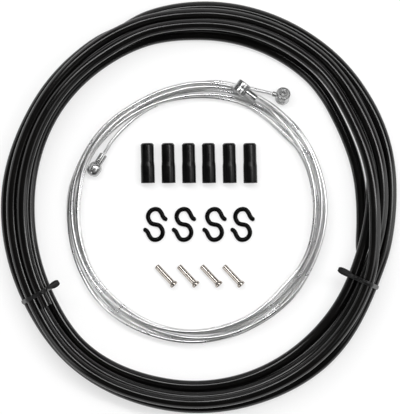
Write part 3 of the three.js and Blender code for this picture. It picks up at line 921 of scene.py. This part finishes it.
# The tail opens into a leaf: share of its length, and half width of each of its two ribbons
TIE_LEAF = ((0.0, 0.5), (0.3, 0.55), (0.48, 0.7), (0.66, 1.02), (0.84, 1.05), (0.94, 0.85), (1.0, 0.4))
TAIL_STEPS = 28
TAIL_SLOPE_DEG = 22
TAIL_OVERLAP = 1.2
TAIL_HEIGHT = 1.1
# The tail's two ribbons wind round each other by this much, half a turn apart, over its first half
TAIL_TWIST_DEG = 200
TWIST_END = 0.5
TWIST_RADIUS = 0.35
# Further on they lie side by side: where along the tail they part, how far aside and how far up
TAIL_PARTING = (0.3, 0.7)
TAIL_ASIDE = 0.4
TAIL_UP = 0.28
# The ribbons' thickness in the twist, up to this share of the tail, and in the leaf
TWIST_THICKNESS = 0.62
LEAF_THICKNESS = 0.45
LEAF_FROM = 0.35
# The flat ribbon's section: thin at its edges, with the wire's ridge along its middle
RIBBON_SECTION = (
    (-1.0, -0.22), (-0.45, -0.26), (0.0, -0.32), (0.45, -0.26), (1.0, -0.22), (1.06, 0.0), (1.0, 0.22),
    (0.5, 0.26), (0.28, 0.5), (0.0, 0.58), (-0.28, 0.5), (-0.5, 0.26), (-1.0, 0.22), (-1.06, 0.0),
)


def outline_round(centres, radius, samples):
    """The outline round a set of circles, as an anticlockwise list of points."""
    angles = [2 * math.pi * i / samples for i in range(samples)]
    points = sorted(
        (x + radius * math.cos(angle), y + radius * math.sin(angle)) for x, y in centres for angle in angles
    )

    def half(items):
        chain = []
        for point in items:
            while len(chain) > 1:
                (ox, oy), (ax, ay) = chain[-2], chain[-1]
                if (ax - ox) * (point[1] - oy) - (ay - oy) * (point[0] - ox) > 1e-6:
                    break
                chain.pop()
            chain.append(point)
        chain.pop()
        return chain

    return half(points) + half(points[::-1])


def leaf_width(share):
    for (start, before), (end, after) in zip(TIE_LEAF, TIE_LEAF[1:]):
        if share <= end:
            return before + (after - before) * (share - start) / (end - start)
    return TIE_LEAF[-1][1]


def build_tie(name, tie_deg, node, tail_lean, tail_length):
    """A strap round the turns, and a tail that points into the ring, leans aside and ends in a leaf."""
    near = [s for s in casing if away_from(s["degrees"], tie_deg) <= 180 / CASING_STEPS_PER_TURN + 1e-6]
    centres = [(s["radius"], s["height"]) for s in near]
    middle = sum(x for x, _ in centres) / len(centres)
    gap = CASING_DIAMETER / 2 + TIE_CLEARANCE / 2 + TIE_STAND_OFF
    hull = outline_round(centres, gap, TIE_SAMPLES)
    closed = [Vector((x, y, 0)) for x, y in hull]
    closed.append(closed[0].copy())
    ring = even_line(closed, TIE_STEP)[:-1]
    angle = math.radians(tie_deg)
    out = Vector((math.cos(angle), RING_STRETCH_Y * math.sin(angle), 0))
    stretch = out.length
    out.normalize()
    across = out.cross(Vector((0, 0, 1)))
    base = out * middle * (stretch - 1)

    def world(x, y, z):
        return base + out * x + Vector((0, 0, 1)) * y + across * z

    verts, faces = [], []
    size = len(RIBBON_SECTION)

    def add_quads(a, b):
        for i in range(size):
            j = (i + 1) % size
            faces.append((a + i, b + i, b + j, a + j))

    for index, point in enumerate(ring):
        ahead = (ring[(index + 1) % len(ring)] - ring[index - 1]).normalized()
        normal = Vector((ahead.y, -ahead.x, 0))
        for across_mm, up_mm in RIBBON_SECTION:
            spot = point + normal * up_mm * STRAP_THICKNESS_SHARE
            verts.append(world(spot.x, spot.y, across_mm * TIE_WIDTH / 2))
    for index in range(len(ring)):
        add_quads(index * size, (index + 1) % len(ring) * size)

    # The ribbon's two ends run together inwards, twist round each other and open out flat
    shoulder = max(ring, key=lambda p: p.y - p.x)
    slope = math.radians(TAIL_SLOPE_DEG)
    inward = Vector((-math.cos(slope), -math.sin(slope), 0))
    lift = Vector((0, 1, 0))
    for strand, side in enumerate((1, -1)):
        start = len(verts)
        for step in range(TAIL_STEPS + 1):
            share = step / TAIL_STEPS
            run = share * tail_length - TAIL_OVERLAP
            twist = math.radians(TAIL_TWIST_DEG + 180 * strand) * (1 - smoothstep(share, 0.0, TWIST_END))
            spread = smoothstep(share, *TAIL_PARTING)
            width = leaf_width(share)
            thick = TWIST_THICKNESS if share < LEAF_FROM else LEAF_THICKNESS
            wound = TWIST_RADIUS * (1 - spread)
            shift = side * TAIL_ASIDE * spread + wound * math.cos(twist)
            rise = wound * math.sin(twist) + side * TAIL_UP * spread
            middle_point = shoulder + inward * run + lift * (TAIL_HEIGHT + rise)
            for across_mm, up_mm in RIBBON_SECTION:
                a = across_mm * width
                u = up_mm * thick
                turned_across = a * math.cos(twist) - u * math.sin(twist)
                turned_up = a * math.sin(twist) + u * math.cos(twist)
                spot = middle_point + lift * turned_up
                verts.append(world(spot.x, spot.y, turned_across + shift + tail_lean * share))
        for step in range(TAIL_STEPS):
            add_quads(start + step * size, start + (step + 1) * size)
        for ring_start, flip in ((start, True), (start + TAIL_STEPS * size, False)):
            cap = tuple(range(ring_start, ring_start + size))
            faces.append(cap[::-1] if flip else cap)
    thing = add_object(name, verts, faces, [RIBBON], sharp_deg=60)
    outward(thing)
    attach(thing, "root")
    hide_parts(node)


build_tie("ribbon_left", TIE_ANGLES_DEG[0], "tie_left", tail_lean=0.4, tail_length=9.6)
build_tie("ribbon_right", TIE_ANGLES_DEG[1], "tie_right", tail_lean=-0.4, tail_length=14.1)

# ---------------------------------------------------------------- ferrules

FERRULE_LENGTH = 17.6
FERRULE_CENTRES_X = (-22.7, -13.6, -4.55, 4.25, 13.35, 22.45)
FERRULE_CENTRE_Y = 19.35
FERRULE_LEAN_DEG = 1.3
FERRULE_MOUTH_RADIUS = 3.05
FERRULE_TIP_RADIUS = 2.875
FERRULE_BORE_RADIUS = 2.62
FERRULE_HOLE_RADIUS = 1.1
FERRULE_BORE_DEPTH = 14.0
FERRULE_SIDES = 48


def build_ferrule(index, x):
    half = FERRULE_LENGTH / 2
    mouth, tip = FERRULE_MOUTH_RADIUS, FERRULE_TIP_RADIUS
    bore, hole = FERRULE_BORE_RADIUS, FERRULE_HOLE_RADIUS
    inner_end = -half + FERRULE_BORE_DEPTH
    outline = [
        (bore, -half + 0.15), (bore + 0.12, -half), (mouth, -half), (mouth, -1.4), (mouth - 0.04, -0.9),
        (tip, 0.6), (tip, half - 0.75), (tip - 0.62, half), (hole + 0.25, half), (hole, half - 0.25),
        (hole, inner_end), (bore, inner_end), (bore, -half + 0.15),
    ]
    profile = rounded(outline, 0.14)[:-1]
    place = (
        Matrix.Translation((x, FERRULE_CENTRE_Y, mouth))
        @ Matrix.Rotation(math.radians(FERRULE_LEAN_DEG), 4, "Z")
        @ Matrix.Rotation(-math.pi / 2, 4, "X")
    )
    cap = lathe(profile, FERRULE_SIDES, place, f"cap_{index}", FERRULE, sharp_deg=38)
    outward(cap)
    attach(cap, "root")
    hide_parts(f"ferrule_{index}")


for number, centre_x in enumerate(FERRULE_CENTRES_X, 1):
    build_ferrule(number, centre_x)

# ---------------------------------------------------------------- hooks

HOOK_ROD_DIAMETER = 2.0
HOOK_TIP_LENGTH = 0.85
HOOK_CENTRES_X = (-19.3, -6.7, 6.8, 19.2)
HOOK_CENTRE_Y = -7.7
HOOK_SIDES = 20
HOOK_CUTS = 8
HOOK_STEP = 0.2
# The rounded tip's last ring, as a share of the rod's radius
HOOK_TIP_END = 0.2
# The middle line from the centre to one tip; the other half is the same turned round
HOOK_HALF = (
    (0, 0), (-1.28, 0.29), (-2.16, 0.88), (-2.95, 2.16), (-3.24, 3.54), (-2.85, 5.01),
    (-1.67, 6.28), (0, 6.78), (1.57, 6.38), (2.65, 5.01), (3.24, 3.73), (3.93, 2.75),
    (4.65, 2.35), (5.4, 2.2),
)


def build_hook(index, x):
    lower = [(-px, -py) for px, py in HOOK_HALF[:0:-1]]
    points = [Vector((px, py, 0)) for px, py in [*lower, *HOOK_HALF]]
    line = even_line(smooth_line(points, HOOK_CUTS), HOOK_STEP)
    radius = HOOK_ROD_DIAMETER / 2
    total = line_length(line)
    sections = []
    run = 0.0
    for i, point in enumerate(line):
        if i:
            run += (point - line[i - 1]).length
        near = min(run, total - run)
        back = 1 - min(1.0, near / HOOK_TIP_LENGTH)
        size = radius * max(HOOK_TIP_END, math.sqrt(1 - back**2))
        sections.append(ring_of(size, HOOK_SIDES))
    verts, faces = tube(line, sections)
    last = (len(line) - 1) * HOOK_SIDES
    faces.append(tuple(range(HOOK_SIDES)))
    faces.append(tuple(range(last, last + HOOK_SIDES))[::-1])
    verts = [v + Vector((x, HOOK_CENTRE_Y, radius)) for v in verts]
    thing = add_object(f"s_hook_{index}", verts, faces, [HOOK], sharp_deg=60)
    outward(thing)
    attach(thing, "root")
    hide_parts(f"hook_{index}")


for number, centre_x in enumerate(HOOK_CENTRES_X, 1):
    build_hook(number, centre_x)

# ---------------------------------------------------------------- crimps

CRIMP_LENGTH = 11.8
CRIMP_DIAMETER = 2.5
CRIMP_FLARE_DIAMETER = 3.7
CRIMP_LIP = 1.1
CRIMP_BORE_RADIUS = 0.9
CRIMP_SIDES = 36
CRIMP_FLOOR_GAP = 0.02
CRIMP_CENTRES = ((-14.8, -30.3), (-5.0, -30.3), (5.1, -30.3), (14.9, -30.3))
CRIMP_DIRECTION_DEG = -47


def build_crimp(index, x, y):
    half = CRIMP_LENGTH / 2
    tube_radius, flare, bore = CRIMP_DIAMETER / 2, CRIMP_FLARE_DIAMETER / 2, CRIMP_BORE_RADIUS
    profile = [
        (0, -half), (tube_radius - 0.3, -half), (tube_radius, -half + 0.35), (tube_radius, half - 1.9),
        (tube_radius + 0.14, half - 1.66), (flare - 0.12, half - 1.2), (flare, half - 0.95),
        (flare, half - 0.4), (flare - 0.12, half - 0.12), (flare - 0.35, half), (flare - 0.62, half),
        (flare - 0.72, half - 0.15), (bore + 0.05, half - 1.6), (bore, half - 1.9), (bore, -half + 0.8),
        (0, -half + 0.8),
    ]
    tilt = math.asin((CRIMP_FLARE_DIAMETER - CRIMP_DIAMETER) / 2 / (CRIMP_LENGTH - CRIMP_LIP))
    rest = tube_radius * math.cos(tilt) + half * math.sin(tilt) + CRIMP_FLOOR_GAP
    place = (
        Matrix.Translation((x, y, rest))
        @ Matrix.Rotation(math.radians(CRIMP_DIRECTION_DEG), 4, "Z")
        @ Matrix.Rotation(-tilt, 4, "Y")
        @ Matrix.Rotation(math.pi / 2, 4, "Y")
    )
    thing = lathe(rounded(profile, 0.18), CRIMP_SIDES, place, f"end_crimp_{index}", NICKEL, sharp_deg=40)
    outward(thing)
    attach(thing, "root")
    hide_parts(f"crimp_{index}")


for number, (centre_x, centre_y) in enumerate(CRIMP_CENTRES, 1):
    build_crimp(number, centre_x, centre_y)

# ---------------------------------------------------------------- floor, light and world

FLOOR_REACH = 3
# How much of the floor's colour the camera sees as plain white, over the light that falls on it
FLOOR_GLOW = 0.55


def floor_material():
    """White paper: it renders white to the camera and keeps the soft shadows."""
    n = Nodes("floor_white")
    n.set(Base_Color=(0.9, 0.9, 0.9, 1.0), Roughness=0.9, Specular_IOR_Level=0.1)
    glow = n.add("ShaderNodeEmission")
    glow.inputs["Strength"].default_value = 1.0
    path = n.add("ShaderNodeLightPath")
    shown = path.outputs["Is Camera Ray"]
    for kind in ("Is Glossy Ray", "Is Transmission Ray"):
        either = n.add("ShaderNodeMath", operation="MAXIMUM")
        n.link(shown, either.inputs[0])
        n.link(path.outputs[kind], either.inputs[1])
        shown = either.outputs[0]
    share = n.add("ShaderNodeMath", operation="MULTIPLY")
    n.link(shown, share.inputs[0])
    share.inputs[1].default_value = FLOOR_GLOW
    blend = n.add("ShaderNodeMixShader")
    n.link(share.outputs[0], blend.inputs[0])
    n.link(n.shader.outputs[0], blend.inputs[1])
    n.link(glow.outputs[0], blend.inputs[2])
    n.link(blend.outputs[0], n.output.inputs["Surface"])
    return n.material


floor_mesh = bpy.data.meshes.new("floor")
corners = [(x * FLOOR_REACH, y * FLOOR_REACH, 0) for x, y in ((-1, -1), (1, -1), (1, 1), (-1, 1))]
floor_mesh.from_pydata(corners, [], [(0, 1, 2, 3)])
floor_mesh.materials.append(floor_material())
floor = bpy.data.objects.new("floor", floor_mesh)
bpy.context.scene.collection.objects.link(floor)


# Every lamp looks at this point
AIM = Vector((0, 0, 0))


def softbox(name, place, size, power):
    light = bpy.data.lights.new(name, "AREA")
    light.shape = "RECTANGLE"
    light.size, light.size_y = size
    light.energy = power
    thing = bpy.data.objects.new(name, light)
    thing.location = place
    thing.rotation_euler = (AIM - Vector(place)).to_track_quat("-Z", "Y").to_euler()
    bpy.context.scene.collection.objects.link(thing)
    return thing


# A wide fill gives the plain level of light without a reflection of its own
fill = softbox("fill", (-0.3, 0.4, 1.4), size=(1.6, 1.6), power=12.0)
fill.visible_glossy = False
softbox("strip_over", (0.1, 0.33, 0.95), size=(1.5, 0.16), power=7.0)
softbox("panel_right", (0.5, 0.0, 0.9), size=(0.9, 0.4), power=1.9)
softbox("box_top", (0.0, 1.0, 0.55), size=(1.0, 0.3), power=1.0)
softbox("box_left", (-0.6, -0.5, 0.55), size=(0.3, 0.6), power=1.0)
softbox("box_right", (0.85, 0.0, 0.42), size=(0.3, 1.2), power=1.8)

# The room: a white backdrop all round, low down, that metal shows too, and a dim ceiling. The camera
# sees plain white wherever it looks past the floor. Heights are the upward part of a ray's direction
BACKDROP_LEVEL = 1.0
CEILING_LEVEL = 0.04
BACKDROP_TOP = 0.12
CEILING_EDGE = 0.32
world = bpy.data.worlds.new("studio")
bpy.context.scene.world = world
world.use_nodes = True
tree = world.node_tree
background = tree.nodes["Background"]
background.inputs["Color"].default_value = (1.0, 1.0, 1.0, 1.0)
direction = tree.nodes.new("ShaderNodeTexCoord")
split = tree.nodes.new("ShaderNodeSeparateXYZ")
tree.links.new(direction.outputs["Generated"], split.inputs["Vector"])
fade = tree.nodes.new("ShaderNodeMapRange")
fade.interpolation_type = "SMOOTHSTEP"
for socket, value in (
    ("From Min", BACKDROP_TOP), ("From Max", CEILING_EDGE),
    ("To Min", BACKDROP_LEVEL), ("To Max", CEILING_LEVEL),
):
    fade.inputs[socket].default_value = value
tree.links.new(split.outputs["Z"], fade.inputs["Value"])
path = tree.nodes.new("ShaderNodeLightPath")
level = tree.nodes.new("ShaderNodeMath")
level.operation = "MAXIMUM"
tree.links.new(path.outputs["Is Camera Ray"], level.inputs[0])
tree.links.new(fade.outputs["Result"], level.inputs[1])
tree.links.new(level.outputs[0], background.inputs["Strength"])

bpy.context.scene.view_settings.view_transform = "Standard"

bpy.context.view_layer.update()
